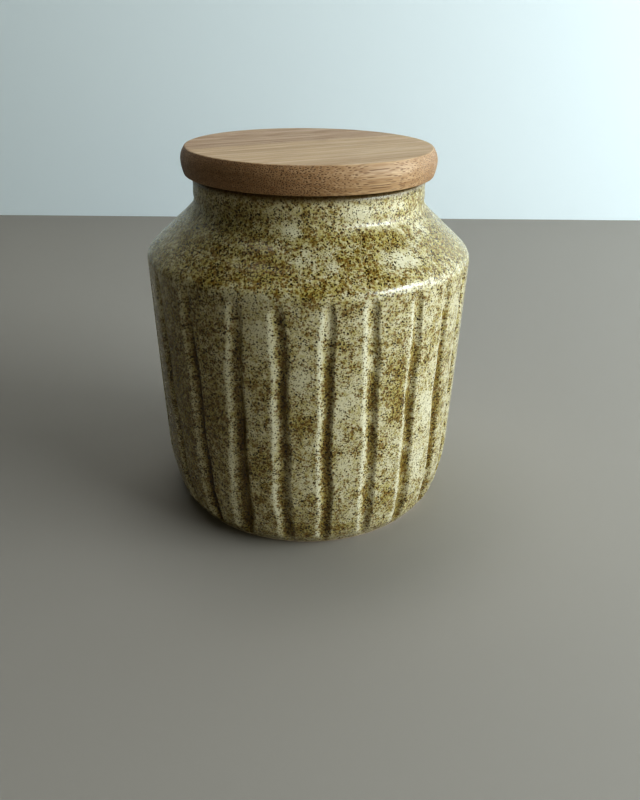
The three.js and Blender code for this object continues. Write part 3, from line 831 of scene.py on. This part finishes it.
def late_wood(s, board, pith, tilt, ring):
    """How far into a year's late wood a point is. The pith is a line that rises by tilt along the grain."""
    sway = s.noise(s.moved(board, (RING_SWAY_SCALE, 1, 1)), RING_SWAY_SIZE, detail=3)
    offset = s.vector("MULTIPLY", s.vector("SUBTRACT", board, pith), (0, 1, 1))
    rise = s.math("MULTIPLY", s.part(board, "X"), tilt)
    rise = s.node("ShaderNodeCombineXYZ", "Vector", {"Z": rise})
    radius = s.vector("LENGTH", s.vector("SUBTRACT", offset, rise), output="Value")
    radius = s.math("ADD", radius, s.math("MULTIPLY", sway, RING_SWAY))
    year = s.math("FRACT", s.math("DIVIDE", radius, ring))
    return s.math("MULTIPLY", s.ease(year, *LATE_START), s.ease(year, *LATE_END, 1.0, 0.0))


def wood_vessels(s, board, end_grain):
    """How far a point is inside a vessel's pale sheath and inside the vessel, which run along the grain."""
    wobble = s.noise(s.moved(board, (WOBBLE_SCALE, 1, 1)), WOBBLE_SIZE, detail=1, output="Color")
    bent = s.vector("ADD", board, s.vector("MULTIPLY", wobble, (0, WOBBLE, WOBBLE)))
    tubes = {"X": s.part(bent, "Y"), "Y": s.part(bent, "Z")}
    tubes = s.node("ShaderNodeCombineXYZ", "Vector", tubes)
    size = s.ease(end_grain, 0, 1, *VESSEL_SIZES)
    sheath, vessel = [s.grains(tubes, VESSEL_CELL, reach, VESSEL_EVENNESS, "2D", VESSEL_SCATTER)[0]
                      for reach in (SHEATH_SIZE, size)]
    return sheath, vessel


def wood_material(name, pale, dark, pith, tilt, ring):
    """Oiled hardwood. Its vessels run along the grain, and show as dashes on the faces and as pores on the
    rim's end grain."""
    s = Shader(name)
    board = s.moved(s.place(), turn=(0, 0, -GRAIN_ANGLE))
    streak = s.noise(s.moved(board, (STREAK_SCALE, 1, 1)), STREAK_SIZE, detail=4, roughness=0.65)
    fibre = s.noise(s.moved(board, (FIBRE_SCALE, 1, 1)), FIBRE_SIZE, roughness=0.6)
    late = late_wood(s, board, pith, tilt, ring)

    grain_way = (math.cos(GRAIN_ANGLE), math.sin(GRAIN_ANGLE), 0)
    facing = s.math("ABSOLUTE", s.vector("DOT_PRODUCT", s.normal(), grain_way, "Value"))
    end_grain = s.ease(facing, *END_FACING)
    rim = s.ease(s.math("ABSOLUTE", s.part(s.normal(), "Z")), *FLAT_SLOPE, 1.0, 0.0)
    sheath, vessel = wood_vessels(s, board, end_grain)

    colour = s.mix(s.ease(streak, *STREAK_NOISE), pale, dark)
    deeper = s.tinted(colour, LATE_TINT)
    colour = s.mix(s.math("MULTIPLY", late, LATE_SHARE), colour, deeper)
    fibre_share = s.math("MULTIPLY", s.ease(fibre, *FIBRE_NOISE), s.ease(rim, 0, 1, *FIBRE_SHARES))
    colour = s.mix(fibre_share, colour, deeper)
    # Painted shade: the lid's sides are a little darker than its faces
    colour = s.mix(rim, colour, s.tinted(colour, SIDE_SHADE_TINT))
    colour = s.mix(end_grain, colour, s.tinted(colour, END_TINT))
    sheath_share = s.math("MULTIPLY", sheath, s.ease(end_grain, 0, 1, *SHEATH_SHARES))
    colour = s.mix(sheath_share, colour, pale)
    rim_share = s.ease(end_grain, 0, 1, *RIM_VESSELS)
    vessel_share = s.math("MULTIPLY", vessel, s.ease(rim, 0, 1, FACE_VESSELS, rim_share))
    colour = s.mix(vessel_share, colour, s.tinted(deeper, PORE_TINT))

    rough = s.ease(streak, *COMMON_NOISE, *WOOD_ROUGHNESS)
    grooves = s.bump(s.math("SUBTRACT", fibre, vessel), FIBRE_DEPTH)
    return s.finish(Base_Color=colour, Roughness=rough, Normal=grooves, IOR=WOOD_IOR)


def silicone_material():
    """Milky silicone rubber, faintly dusty."""
    s = Shader("milky_silicone")
    place = s.place()
    haze = s.noise(place, HAZE_SIZE, detail=3)
    colour = s.mix(haze, DULL_SILICONE, PALE_SILICONE)
    rough = s.ease(haze, *COMMON_NOISE, *HAZE_ROUGHNESS)
    dust = s.bump(s.noise(place, DUST_SIZE), DUST_DEPTH)
    return s.finish(Base_Color=colour, Roughness=rough, Normal=dust, IOR=SILICONE_IOR,
                    Subsurface_Weight=SILICONE_GLOW, Subsurface_Radius=SILICONE_GLOW_REACH)


def plain_material(name, colour, roughness):
    s = Shader(name)
    return s.finish(Base_Color=(*colour, 1), Roughness=roughness)


# Stage, light and camera

def make_stage():
    """A pale floor and a plain pale wall, far enough back for a camera to pass between it and the jar, and
    the grey walls of the room round the other sides."""
    left, right, front, back, top = -STAGE_HALF_WIDTH, STAGE_HALF_WIDTH, STAGE_FRONT, STAGE_BACK, STAGE_TOP
    corners = [(right, back), (right, front), (left, front), (left, back)]
    low, high = [[(x, y, z) for x, y in corners] for z in (0, top)]
    floor = add_mesh("studio_floor", [low[2], low[1], low[0], low[3]], [(0, 1, 2, 3)])
    floor.data.materials.append(plain_material(*FLOOR_FINISH))
    backdrop = add_mesh("studio_wall", [low[3], low[0], high[0], high[3]], [(0, 1, 2, 3)])
    backdrop.data.materials.append(plain_material(*BACKDROP_FINISH))
    room = add_mesh("studio_room", low + high, [(0, 1, 5, 4), (1, 2, 6, 5), (2, 3, 7, 6)], smooth=False)
    room.data.materials.append(plain_material(*ROOM_FINISH))


def add_light(name, azimuth, elevation, distance, size, power, colour):
    """A soft rectangular light that faces the middle of the jar."""
    lamp = bpy.data.lights.new(name, "AREA")
    lamp.shape = "RECTANGLE"
    lamp.size, lamp.size_y = size
    lamp.energy = power
    lamp.color = colour
    light = bpy.data.objects.new(name, lamp)
    a, e = math.radians(azimuth), math.radians(elevation)
    way = Vector((math.sin(a) * math.cos(e), -math.cos(a) * math.cos(e), math.sin(e)))
    light.location = LIGHT_TARGET + way * distance
    light.rotation_euler = (-way).to_track_quat("-Z", "Y").to_euler()
    light.visible_camera = False
    bpy.context.scene.collection.objects.link(light)


def make_light():
    """A window on the right, and what a room gives back. The world itself is dark."""
    for name, light in LIGHTS.items():
        add_light(name, *light)
    world = bpy.data.worlds.new("studio_air")
    world.use_nodes = True
    world.node_tree.nodes["Background"].inputs["Strength"].default_value = 0.0
    bpy.context.scene.world = world
    bpy.context.scene.view_settings.view_transform = "Standard"
    bpy.context.scene.view_settings.look = "High Contrast"


def make_camera():
    lens = bpy.data.cameras.new("photo_camera")
    lens.lens = lens.sensor_width * FOCAL_PIXELS / PHOTO_HEIGHT
    camera = bpy.data.objects.new("photo_camera", lens)
    camera.location = (0, -CAMERA_BACK, CAMERA_HEIGHT)
    turn = Matrix.Rotation(-CAMERA_YAW, 3, "Z") @ Matrix.Rotation(math.pi / 2 - CAMERA_PITCH, 3, "X")
    camera.rotation_euler = (turn @ Matrix.Rotation(CAMERA_ROLL, 3, "Z")).to_euler()
    bpy.context.scene.collection.objects.link(camera)
    bpy.context.scene.camera = camera


def dress(piece, material, body, node):
    """The piece stands for a CAD node, on its body and with its finish."""
    piece.data.materials.append(material)
    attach(piece, body)
    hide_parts(node)


make_camera()
make_light()
make_stage()
dress(make_jar(), glaze_material(), "jar", "jar_body")
front_stave, back_stave = make_staves()
front_wood = wood_material("oiled_wood_front", *FRONT_WOOD)
back_wood = wood_material("oiled_wood_back", *BACK_WOOD)
dress(front_stave, front_wood, "lid", "lid_stave_front")
dress(back_stave, back_wood, "lid", "lid_stave_back")
dress(make_plug(), front_wood, "lid", "lid_plug")
dress(make_seal(), silicone_material(), "lid", "lid_seal")
